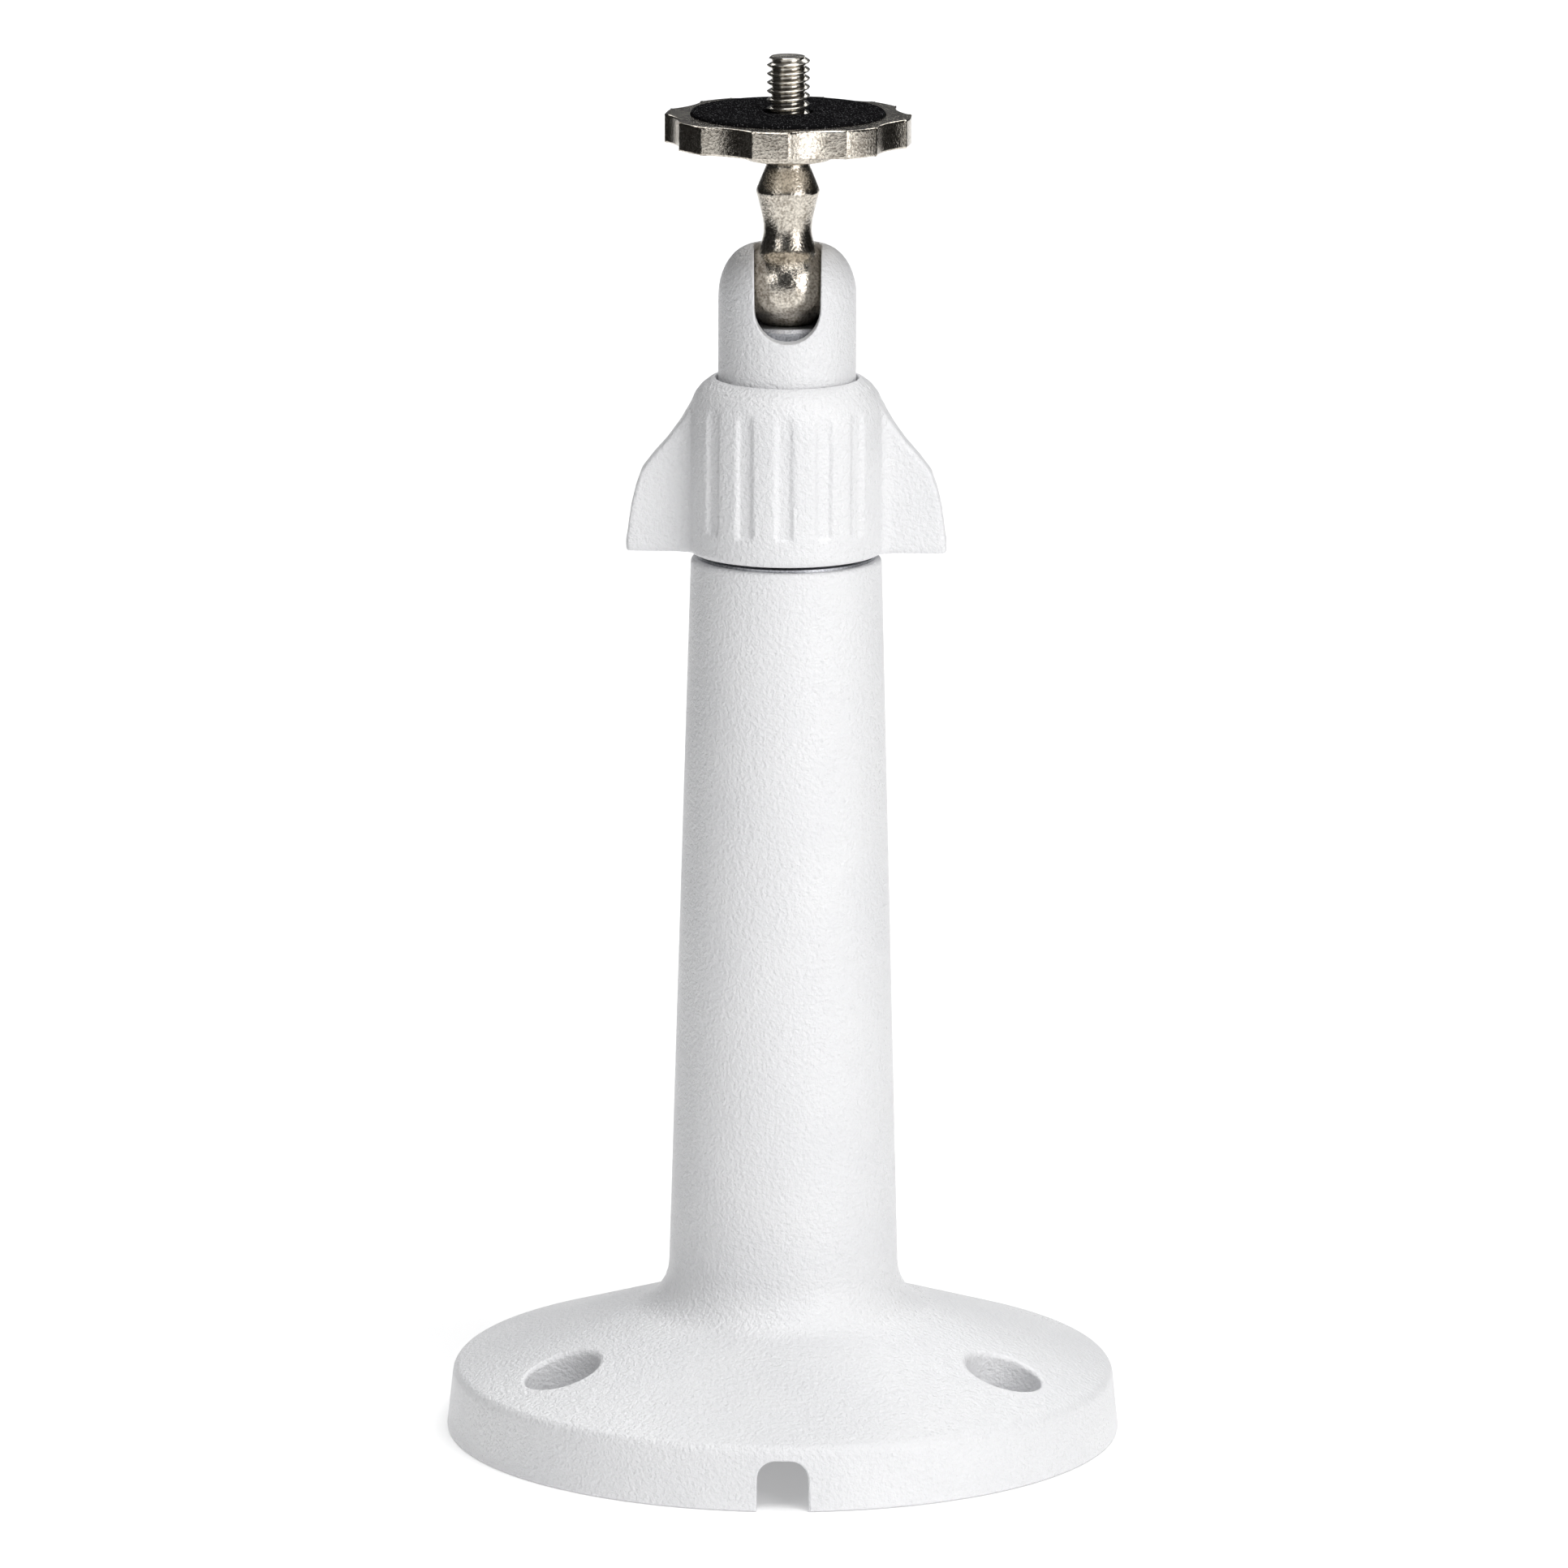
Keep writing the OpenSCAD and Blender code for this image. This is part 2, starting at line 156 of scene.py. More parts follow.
def fillProfile(name, path):
    # a flat face with a rounded outline, still in edit mode
    piece = drawProfile(name, roundedPath(path))
    weldDoubles()
    bpy.ops.mesh.edge_face_add()
    return piece


def turnOnLathe(name, path, steps):
    # a solid of revolution about the Z axis; a path that starts on the axis also ends on it
    piece = drawProfile(name, roundedPath(path, closed=path[0][0] > 0))
    bpy.ops.mesh.select_all(action="SELECT")
    bpy.ops.mesh.spin(steps=steps, angle=math.tau, center=(0, 0, 0), axis=(0, 0, 1))
    weldDoubles()
    faceOutwards()
    return piece


def applyModifier(piece, kind, **settings):
    selectOnly(piece)
    modifier = piece.modifiers.new(kind.title(), kind)
    for key, value in settings.items():
        setattr(modifier, key, value)
    bpy.ops.object.modifier_apply(modifier=modifier.name)


def combine(piece, other, operation):
    # boolean with another mesh, which is used up
    applyModifier(piece, "BOOLEAN", operation=operation, solver="EXACT", object=other)
    bpy.data.objects.remove(other)


def copyTurned(piece, degrees):
    # a copy with its own mesh, turned about the Z axis
    copy = piece.copy()
    copy.data = piece.data.copy()
    bpy.context.collection.objects.link(copy)
    copy.data.transform(mathutils.Matrix.Rotation(math.radians(degrees), 4, "Z"))
    return copy


def joinCopies(piece, turns):
    # copies turned about the Z axis, joined as one mesh; the first piece is used up
    copies = [copyTurned(piece, degrees) for degrees in turns]
    bpy.data.objects.remove(piece)
    deselectAll()
    for copy in copies:
        copy.select_set(True)
    bpy.context.view_layer.objects.active = copies[0]
    bpy.ops.object.join()
    return copies[0]


def moveAlongX(piece, distance):
    piece.data.transform(mathutils.Matrix.Translation((mm(distance), 0, 0)))


def shadeSmooth(piece, degrees):
    selectOnly(piece)
    bpy.ops.object.shade_smooth_by_angle(angle=math.radians(degrees))
    applyModifier(piece, "WEIGHTED_NORMAL", mode="FACE_AREA", weight=50, keep_sharp=True)


def remeshSoft(piece, voxel, rounds):
    # voxel remesh and a light smoothing, which leaves every edge soft as on a coated casting
    applyModifier(piece, "REMESH", mode="VOXEL", voxel_size=mm(voxel), use_smooth_shade=True)
    applyModifier(piece, "SMOOTH", factor=0.5, iterations=rounds)


# tools for materials

class Flow:
    # a node's output, with arithmetic that adds Math nodes
    def __init__(self, finish, socket):
        self.finish = finish
        self.socket = socket

    def maths(self, operation, first, second):
        return self.finish.node("ShaderNodeMath", {"operation": operation}, {0: first, 1: second})

    def __add__(self, other):
        return self.maths("ADD", self, other)

    def __radd__(self, other):
        return self.maths("ADD", other, self)

    def __mul__(self, other):
        return self.maths("MULTIPLY", self, other)

    def __rmul__(self, other):
        return self.maths("MULTIPLY", other, self)


class Finish:
    # one material, built node by node on Object coordinates
    def __init__(self, name, **shader):
        self.material = bpy.data.materials.new(name)
        self.material.use_nodes = True
        self.tree = self.material.node_tree
        self.tree.nodes.clear()
        self.place = self.node("ShaderNodeTexCoord", out="Object")
        self.shader = self.tree.nodes.new("ShaderNodeBsdfPrincipled")
        self.wear(**shader)
        output = self.tree.nodes.new("ShaderNodeOutputMaterial")
        self.tree.links.new(self.shader.outputs[0], output.inputs[0])

    def feed(self, node, inputs):
        for key, value in inputs.items():
            if isinstance(value, Flow):
                self.tree.links.new(value.socket, node.inputs[key])
            else:
                node.inputs[key].default_value = value

    def node(self, kind, settings=None, inputs=None, out=0):
        made = self.tree.nodes.new(kind)
        for key, value in (settings or {}).items():
            setattr(made, key, value)
        self.feed(made, inputs or {})
        return Flow(self, made.outputs[out])

    def noise(self, size, detail, roughness=0.5, stretch=None):
        # noise whose grains are about `size` millimetres
        place = self.place
        if stretch:
            place = self.node("ShaderNodeMapping", None, {"Vector": place, "Scale": stretch})
        return self.node("ShaderNodeTexNoise", {"noise_dimensions": "3D"}, {
            "Vector": place, "Scale": 1000 / size, "Detail": detail, "Roughness": roughness})

    def remap(self, value, low, high, newLow, newHigh):
        return self.node("ShaderNodeMapRange", {"clamp": True}, {
            "Value": value, "From Min": low, "From Max": high,
            "To Min": newLow, "To Max": newHigh})

    def mixColour(self, share, first, second):
        # on a colour mix, sockets 6 and 7 are A and B, and output 2 is the colour
        return self.node(
            "ShaderNodeMix", {"data_type": "RGBA"}, {0: share, 6: first, 7: second}, out=2)

    def bump(self, height, distance, strength=1.0):
        return self.node("ShaderNodeBump", None, {
            "Height": height, "Distance": mm(distance), "Strength": strength})

    def wear(self, **inputs):
        # sets or links the shader's own sockets
        self.feed(self.shader, {key.replace("_", " "): value for key, value in inputs.items()})


def giveFinish(piece, finish):
    piece.data.materials.clear()
    piece.data.materials.append(finish.material)


def coatNode(name, finish):
    # a CAD node keeps its mesh and gets a new material in each slot
    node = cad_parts[name]
    for slot in node.material_slots:
        slot.material = finish.material


# finishes: sizes of grains and depths of bumps are millimetres

powderCoat = {
    "colour": (0.815, 0.817, 0.828, 1), "shade": (0.785, 0.788, 0.802, 1),
    "pit": (0.66, 0.66, 0.67, 1), "peel": 0.6, "drift": 14, "roughness": (0.27, 0.36), "bump": 0.36}


def makePowderCoat():
    finish = Finish("whitePowderCoat", IOR=1.5)
    peel = finish.noise(powderCoat["peel"], 2.0, 0.55)
    grain = finish.noise(powderCoat["peel"] * 0.42, 1.0)
    drift = finish.noise(powderCoat["drift"], 2.0)
    specks = finish.noise(0.5, 0.0)
    height = peel * 0.8 + grain * 0.2
    colour = finish.mixColour(
        finish.remap(drift, 0.35, 0.65, 0.0, 1.0), powderCoat["colour"], powderCoat["shade"])
    pits = finish.remap(specks, 0.19, 0.25, 0.35, 0.0)
    colour = finish.mixColour(pits, colour, powderCoat["pit"])
    finish.wear(
        Base_Color=colour,
        Roughness=finish.remap(drift * 0.5 + peel * 0.5, 0.35, 0.65, *powderCoat["roughness"]),
        Normal=finish.bump(height, powderCoat["bump"]))
    return finish


blastedNickel = {
    "light": (0.74, 0.69, 0.61, 1), "dark": (0.30, 0.265, 0.22, 1), "pebble": 0.38, "stain": 3.2,
    "roughness": (0.11, 0.22), "bump": 0.07}


def makeBlastedNickel():
    finish = Finish("blastedNickel", Metallic=1.0)
    pebble = finish.noise(blastedNickel["pebble"], 2.0, 0.6)
    fine = finish.noise(0.12, 1.0)
    stain = finish.noise(blastedNickel["stain"], 3.0, 0.6)
    finish.wear(
        Base_Color=finish.mixColour(
            finish.remap(stain * 0.35 + pebble * 0.65, 0.38, 0.58, 0.0, 1.0),
            blastedNickel["dark"], blastedNickel["light"]),
        Roughness=finish.remap(
            pebble * 0.5 + fine * 0.5, 0.3, 0.7, *blastedNickel["roughness"]),
        Normal=finish.bump(pebble * 0.8 + fine * 0.2, blastedNickel["bump"]))
    return finish


brightNickel = {
    "colour": (0.74, 0.71, 0.65, 1), "dull": (0.50, 0.465, 0.41, 1),
    "line": 0.11, "lineStretch": (0.04, 0.04, 1), "roughness": (0.14, 0.27), "bump": 0.015}


def makeBrightNickel():
    finish = Finish("brightNickel", Metallic=1.0)
    # turning marks: noise drawn out along the thread
    lines = finish.noise(brightNickel["line"], 2.0, 0.6, stretch=brightNickel["lineStretch"])
    cloud = finish.noise(0.9, 2.0)
    finish.wear(
        Base_Color=finish.mixColour(
            finish.remap(cloud, 0.35, 0.65, 0.0, 1.0),
            brightNickel["dull"], brightNickel["colour"]),
        Roughness=finish.remap(lines, 0.3, 0.7, *brightNickel["roughness"]),
        Normal=finish.bump(lines * 0.6 + cloud * 0.4, brightNickel["bump"], 0.7))
    return finish


rawAluminium = {
    "colour": (0.60, 0.61, 0.64, 1), "dull": (0.34, 0.35, 0.38, 1),
    "ring": 0.16, "ringStretch": (0.03, 0.03, 1), "roughness": (0.3, 0.48), "bump": 0.02}


def makeRawAluminium():
    finish = Finish("rawAluminium", Metallic=1.0)
    rings = finish.noise(rawAluminium["ring"], 2.0, 0.7, stretch=rawAluminium["ringStretch"])
    grain = finish.noise(0.3, 2.0)
    cloud = finish.noise(4, 2.0)
    finish.wear(
        Base_Color=finish.mixColour(
            finish.remap(cloud * 0.3 + grain * 0.7, 0.38, 0.6, 0.0, 1.0),
            rawAluminium["dull"], rawAluminium["colour"]),
        Roughness=finish.remap(rings, 0.3, 0.7, *rawAluminium["roughness"]),
        Normal=finish.bump(rings * 0.7 + grain * 0.3, rawAluminium["bump"], 0.8))
    return finish


zincSteel = {
    "colour": (0.66, 0.68, 0.70, 1), "dull": (0.50, 0.51, 0.50, 1),
    "spanglesPerMetre": 900.0, "roughness": (0.3, 0.45), "bump": 0.015}


def makeZincSteel():
    finish = Finish("zincSteel", Metallic=1.0)
    spangle = finish.node("ShaderNodeTexVoronoi", {"feature": "F1"}, {
        "Vector": finish.place, "Scale": zincSteel["spanglesPerMetre"]}, out="Color")
    tone = finish.node("ShaderNodeRGBToBW", None, {"Color": spangle})
    grain = finish.noise(0.2, 2.0)
    finish.wear(
        Base_Color=finish.mixColour(
            tone * 0.6 + grain * 0.4, zincSteel["dull"], zincSteel["colour"]),
        Roughness=finish.remap(tone * 0.5 + grain * 0.5, 0.2, 0.8, *zincSteel["roughness"]),
        Normal=finish.bump(grain, zincSteel["bump"], 0.6))
    return finish


blackRubber = {
    "colour": (0.006, 0.006, 0.0065, 1), "dust": (0.14, 0.14, 0.145, 1),
    "grain": 0.28, "roughness": (0.52, 0.75), "bump": 0.05}


def makeBlackRubber():
    finish = Finish("blackRubber", IOR=1.45, Specular_IOR_Level=0.0)
    grain = finish.noise(blackRubber["grain"], 2.0, 0.6)
    dust = finish.noise(0.2, 0.0)
    cloud = finish.noise(3, 2.0)
    specks = finish.remap(dust, 0.70, 0.76, 0.0, 0.8)
    finish.wear(
        Base_Color=finish.mixColour(specks, blackRubber["colour"], blackRubber["dust"]),
        Roughness=finish.remap(
            cloud * 0.5 + grain * 0.5, 0.3, 0.7, *blackRubber["roughness"]),
        Normal=finish.bump(grain, blackRubber["bump"], 0.9))
    return finish


nylonWhite = {
    "colour": (0.78, 0.76, 0.70, 1), "shade": (0.70, 0.68, 0.61, 1),
    "grain": 0.4, "roughness": (0.4, 0.5), "bump": 0.01}


def makeNylon():
    finish = Finish("nylonWhite", IOR=1.53, Subsurface_Weight=0.15)
    grain = finish.noise(nylonWhite["grain"], 2.0)
    cloud = finish.noise(3, 2.0)
    finish.wear(
        Base_Color=finish.mixColour(
            finish.remap(cloud, 0.3, 0.7, 0.0, 1.0), nylonWhite["colour"], nylonWhite["shade"]),
        Roughness=finish.remap(grain, 0.3, 0.7, *nylonWhite["roughness"]),
        Normal=finish.bump(grain, nylonWhite["bump"], 0.6))
    return finish


whiteCoat = makePowderCoat()
nickel = makeBlastedNickel()
screwNickel = makeBrightNickel()
aluminium = makeRawAluminium()
zinc = makeZincSteel()
rubber = makeBlackRubber()
nylon = makeNylon()
print("finishes made")

# pedestal

pedestal = {
    "baseR": 49.985, "rimR": 48.99, "rimZ": 9.2, "rimRound": 1.8, "slope": 18.5, "wall": 3,
    "footR": 17.1, "fillet": 7.5, "topR": 14, "topZ": 131.5, "pocketR": 9.5, "pocketZ": 117.5,
    "coreR": 3.3, "coreZ": 112.5, "screwR": 37.5, "recessR": 5.5, "holeR": 2.75, "seatZ": 3.5,
    "screwTurns": (90, 210, 330), "bossWall": 1.6, "bossZ": 9.4, "lip": 0.75,
    "notchHalf": 3.75, "notchZ": 7.3, "notchRound": 2.6, "notchStart": 40, "notchTaper": 0.08}

# how far each step of the notch goes out, and how much wider the notch is there
notchFlare = [(8.55, 0.0), (0.2, 0.03), (0.15, 0.12), (0.1, 0.25), (0.0, 0.4), (3.0, 0.42)]


def slopeHeight(r):
    return pedestal["rimZ"] + (pedestal["rimR"] - r) * math.tan(math.radians(pedestal["slope"]))


def followSlope(piece, above, flat):
    # shifts what lies above a height so that the level `flat` comes to lie on the base's slope
    for vertex in piece.data.vertices:
        if vertex.co.z > mm(above):
            vertex.co.z += mm(slopeHeight(math.hypot(vertex.co.x, vertex.co.y) * 1000) - flat)


def makeRecessCutter():
    # screw hole, head recess and a soft lip, drawn at a flat level and then laid on the slope
    p = pedestal
    flat = 20
    arc = []
    for degrees in range(0, 85, 12):
        turn = math.radians(degrees)
        arc.append((p["recessR"] + p["lip"] * (1 - math.cos(turn)),
                    flat - p["lip"] * (1 - math.sin(turn))))
    path = [(0, -1), (p["holeR"], -1), (p["holeR"], p["seatZ"]), (p["recessR"], p["seatZ"], 0.3)]
    path += arc + [(arc[-1][0] + 0.02, flat + 3), (0, flat + 3)]
    cutter = turnOnLathe("recessCutter", path, steps=64)
    moveAlongX(cutter, p["screwR"])
    followSlope(cutter, flat - 2, flat)
    return cutter


def makeNotchCutter():
    # a rounded slot through the rim, flared at the outer face
    p = pedestal
    half, top, taper, below = p["notchHalf"], p["notchZ"], p["notchTaper"], 2
    cutter = fillProfile("notchCutter", [
        (-half, -below), (half, -below), (half - taper, top, p["notchRound"]),
        (-half + taper, top, p["notchRound"])])
    bpy.ops.transform.translate(value=(0, mm(-p["notchStart"]), 0))
    wider = 0
    for step, flare in notchFlare:
        bpy.ops.mesh.extrude_region_move(TRANSFORM_OT_translate={"value": (0, mm(-step), 0)})
        if flare:
            across = (half + flare) / (half + wider)
            up = (top + below + flare) / (top + below + wider)
            bpy.ops.transform.resize(
                value=(across, 1, up), center_override=(0, 0, mm(-below)))
        wider = flare
    faceOutwards()
    # the flare moves out to the rim and follows its curve
    flareStart, toRim = 44, 1.0
    for vertex in cutter.data.vertices:
        if vertex.co.y < mm(-flareStart):
            z = vertex.co.z * 1000
            radius = p["baseR"] - (p["baseR"] - p["rimR"]) * max(0, z) / p["rimZ"]
            sag = radius - math.sqrt(radius ** 2 - (vertex.co.x * 1000) ** 2)
            vertex.co.y += mm(sag + (p["baseR"] - radius) - toRim)
    return cutter


def makePedestal():
    p = pedestal
    wall = p["wall"]
    under = wall / math.cos(math.radians(p["slope"]))  # the wall's thickness, straight down
    footZ = slopeHeight(p["footR"])
    coreTop = p["footR"] - (p["footR"] - p["topR"]) * (
        p["coreZ"] - footZ) / (p["topZ"] - footZ) - wall
    piece = turnOnLathe("pedestalCasting", [
        (p["baseR"], 0, 0.35), (p["rimR"], p["rimZ"], p["rimRound"]),
        (p["footR"], footZ, p["fillet"]), (p["topR"], p["topZ"], 0.8),
        (p["pocketR"], p["topZ"]), (p["pocketR"], p["pocketZ"]),
        (p["coreR"], p["pocketZ"]), (p["coreR"], p["coreZ"]), (coreTop, p["coreZ"], 2),
        (p["footR"] - wall, slopeHeight(p["footR"] - wall) - under, p["fillet"]),
        (p["rimR"] - wall, slopeHeight(p["rimR"] - wall) - under, 1.5),
        (p["baseR"] - wall, 0, 0.3)], steps=180)
    combine(piece, makeNotchCutter(), "DIFFERENCE")
    bossR = p["recessR"] + p["bossWall"]
    boss = turnOnLathe(
        "boss", [(0, 0), (bossR, 0, 0.3), (bossR, p["bossZ"]), (0, p["bossZ"])], steps=48)
    moveAlongX(boss, p["screwR"])
    followSlope(boss, 5, p["bossZ"] + under / 2)  # its top ends inside the wall
    combine(piece, joinCopies(boss, p["screwTurns"]), "UNION")
    combine(piece, joinCopies(makeRecessCutter(), p["screwTurns"]), "DIFFERENCE")
    shadeSmooth(piece, 34)
    giveFinish(piece, whiteCoat)
    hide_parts("pedestal")
    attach(piece, "base")
    print("pedestal", len(piece.data.polygons))


makePedestal()

# wing nut

nut = {
    "bodyR": 14.4, "lowZ": 132.3, "highZ": 158.8, "boreR": 12.1, "mouthR": 10.4, "shelfZ": 155.1,
    "dome": 6, "clock": -1.5, "wingRound": 0.95,
    "fluteWide": 2.5, "fluteDeep": 0.5, "fluteZ": 136.3, "fluteTall": 26, "fluteRound": 0.3,
    "flutePitch": 24, "voxel": 0.28, "softening": 5}

# how far out, how high and how thick the wing is, from its root to its tip
wingStations = [
    (11.8, 156.9, 10.0), (13.05, 155.9, 7.4), (13.9, 154.5, 6.4), (14.7, 153.1, 5.3),
    (15.67, 151.5, 4.55), (17.46, 149.05, 4.1), (19.6, 146.6, 4.0), (21.2, 144.5, 3.95),
    (22.11, 141.9, 3.9), (22.71, 139.35, 3.8), (23.07, 136.9, 3.75), (23.38, 134.6, 3.5),
    (23.5, 134.35, 2.6)]


def makeWing():
    # one wing, drawn out from its root station by station; only its upper edge comes down
    out, high, thick = wingStations[0]
    low = nut["lowZ"] + 0.05
    deselectAll()
    bpy.ops.mesh.primitive_plane_add(size=mm(1), location=(0, 0, 0), rotation=(0, math.pi / 2, 0))
    wing = bpy.context.object
    wing.name = wing.data.name = "wing"
    bpy.ops.object.transform_apply(location=True, rotation=True, scale=True)
    editOn(wing)
    bpy.ops.mesh.select_all(action="SELECT")
    bpy.ops.transform.resize(value=(1, thick, high - low), center_override=(0, 0, 0))
    bpy.ops.transform.translate(value=(mm(out), 0, mm((low + high) / 2)))
    bpy.ops.mesh.bevel(offset=mm(nut["wingRound"]), segments=4, affect="VERTICES")
    near = 0.001
    for nextOut, nextHigh, nextThick in wingStations[1:]:
        pick(wing, "FACE", lambda centre, normal:
             abs(centre.x - out) < near and abs(normal.x) > 0.9)
        bpy.ops.mesh.extrude_region_move(
            TRANSFORM_OT_translate={"value": (mm(nextOut - out), 0, 0)})
        bpy.ops.transform.resize(
            value=(1, nextThick / thick, 1), center_override=(mm(nextOut), 0, mm(low)))
        pick(wing, "VERT", lambda point:
             abs(point.x - nextOut) < near and point.z > low + nut["wingRound"] + 0.01)
        bpy.ops.transform.translate(value=(0, 0, mm(nextHigh - high)))
        out, high, thick = nextOut, nextHigh, nextThick
    faceOutwards()
    return wing


def makeFluteCutter():
    # a rounded bar that cuts one grip flute in the nut's front
    deselectAll()
    bpy.ops.mesh.primitive_cube_add(size=mm(1), location=(0, 0, 0))
    bar = bpy.context.object
    bar.name = bar.data.name = "fluteBar"
    editOn(bar)
    bpy.ops.mesh.select_all(action="SELECT")
    height, halfDeep = nut["fluteTall"], 2.5
    bpy.ops.transform.resize(value=(nut["fluteWide"], 2 * halfDeep, height))
    reach = nut["bodyR"] - 0.05 - nut["fluteDeep"] + halfDeep
    bpy.ops.transform.translate(value=(0, mm(-reach), mm(nut["fluteZ"] + height / 2)))
    pick(bar, "EDGE", lambda a, b: a.y > -reach and b.y > -reach
         and (abs(a.x - b.x) < 0.1 or a.z < nut["fluteZ"] + 1))
    bpy.ops.mesh.bevel(offset=mm(nut["fluteRound"]), segments=3, affect="EDGES")
    editOff()
    return bar


def makeWingNut():
    n = nut
    below, above = 131, 160  # where the bore's cutter starts and ends, clear of the nut
    piece = turnOnLathe("wingNutCasting", [
        (0, n["lowZ"]), (n["bodyR"], n["lowZ"], 0.8),
        (n["bodyR"] - 0.15, n["highZ"], n["dome"]), (0, n["highZ"])], steps=128)
    wing = makeWing()
    bore = turnOnLathe("bore", [
        (0, below), (n["boreR"] + 0.3, below), (n["boreR"] + 0.3, n["lowZ"] + 0.1),
        (n["boreR"], n["lowZ"] + 0.4), (n["boreR"], n["shelfZ"]), (n["mouthR"], n["shelfZ"]),
        (n["mouthR"], n["highZ"] - 0.4), (n["mouthR"] + 0.4, n["highZ"] + 0.1),
        (n["mouthR"] + 0.4, above), (0, above)], steps=128)
    combine(piece, joinCopies(wing, (0, 180)), "UNION")
    combine(piece, bore, "DIFFERENCE")
    turns = [side + i * n["flutePitch"] for side in (0, 180) for i in range(-2, 3)]
    combine(piece, joinCopies(makeFluteCutter(), turns), "DIFFERENCE")
    remeshSoft(piece, n["voxel"], n["softening"])
    piece.data.transform(mathutils.Matrix.Rotation(math.radians(n["clock"]), 4, "Z"))
    giveFinish(piece, whiteCoat)
    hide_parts("wing_nut")
    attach(piece, "nut")
    print("wing nut", len(piece.data.polygons))


makeWingNut()

# socket head

head = {
    "flangeZ": 152.4, "slipZ": 154.6, "flangeR": 11.6, "bodyR": 10.1, "crownZ": 177.75,
    "shoulderOut": 0.15, "shoulderUp": 1.6, "ballZ": 171.9, "boreR": 6.95, "socketR": 6.95,
    "mouthR": 5.0, "slotTop": 4.95, "slotLow": 4.72, "slotFloor": 164.65, "slotRound": 4.6,
    "slotEnd": 180, "slotDeep": 12, "voxel": 0.205, "softening": 5}


def makeSocketHead():
    h = head
    shoulderWide = h["bodyR"] - h["mouthR"] + h["shoulderOut"]
    shoulderTall = h["crownZ"] - h["ballZ"] + h["shoulderUp"]
    shoulder = []
    for degrees in range(0, 91, 9):
        turn = math.radians(degrees)
        shoulder.append((h["bodyR"] - shoulderWide * (1 - math.cos(turn)),
                         h["crownZ"] - shoulderTall * (1 - math.sin(turn))))
    mouthAngle = math.acos(h["mouthR"] / h["socketR"])
    cavity = []
    for i in range(8, -1, -1):
        turn = mouthAngle * i / 8
        cavity.append((h["socketR"] * math.cos(turn), h["ballZ"] + h["socketR"] * math.sin(turn)))
    piece = turnOnLathe("socketHeadCasting", [
        (h["boreR"], h["flangeZ"]), (h["flangeR"], h["flangeZ"]), (h["flangeR"], h["slipZ"]),
        (h["bodyR"], h["slipZ"])
    ] + shoulder + [(h["mouthR"], h["crownZ"] - 0.1)] + cavity, steps=128)
    slot = fillProfile("neckSlot", [
        (-h["slotLow"], h["slotFloor"], h["slotRound"]),
        (h["slotLow"], h["slotFloor"], h["slotRound"]),
        (h["slotTop"], h["slotEnd"]), (-h["slotTop"], h["slotEnd"])])
    bpy.ops.mesh.extrude_region_move(
        TRANSFORM_OT_translate={"value": (0, mm(-h["slotDeep"]), 0)})
    faceOutwards()
    combine(piece, slot, "DIFFERENCE")
    remeshSoft(piece, h["voxel"], h["softening"])
    giveFinish(piece, whiteCoat)
    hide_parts("socket_head")
    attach(piece, "head")
    print("socket head", len(piece.data.polygons))


makeSocketHead()

# ball stud

stud = {"ballR": 6.75, "ballZ": 171.9, "boreR": 2.2, "boreZ": 181.25, "endZ": 190.25}

# radius and height along the neck, from the ball up to the stud's end
neckPoints = [
    (4.35, 177.06), (4.15, 177.45), (3.95, 177.9), (3.76, 178.5), (3.6, 179.2), (3.51, 180.0),
    (3.56, 180.9), (3.68, 181.8), (3.86, 182.6), (4.08, 183.5), (4.32, 184.5), (4.48, 185.15),
    (4.6, 185.5), (4.65, 185.75), (4.62, 185.95), (4.5, 186.3), (4.36, 186.65), (3.98, 187.6),
    (3.56, 188.6), (3.24, 189.4), (3.2, 189.7), (3.2, 190.15), (3.1, 190.25)]


def makeBallStud():
    s = stud
    neckStart = math.degrees(math.asin((neckPoints[0][1] - s["ballZ"]) / s["ballR"]))
    ball = [(0, s["ballZ"] - s["ballR"])]
    for i in range(1, 36):
        turn = math.radians(-90 + i * (neckStart + 90) / 36)
        ball.append((s["ballR"] * math.cos(turn), s["ballZ"] + s["ballR"] * math.sin(turn)))
    piece = turnOnLathe("ballStud", ball + neckPoints + [
        (s["boreR"], s["endZ"]), (s["boreR"], s["boreZ"]), (0, s["boreZ"])], steps=96)
    shadeSmooth(piece, 50)
    giveFinish(piece, nickel)
    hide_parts("ball_stud")
    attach(piece, "stud")
    print("ball stud", len(piece.data.polygons))


makeBallStud()

# camera screw

screw = {
    "crestR": 3.15, "rootR": 2.42, "pitch": 1.27, "shankR": 2.2, "shankZ": 181.25,
    "footZ": 190.25, "tipZ": 205.55, "chamfer": 0.6, "sides": 56}


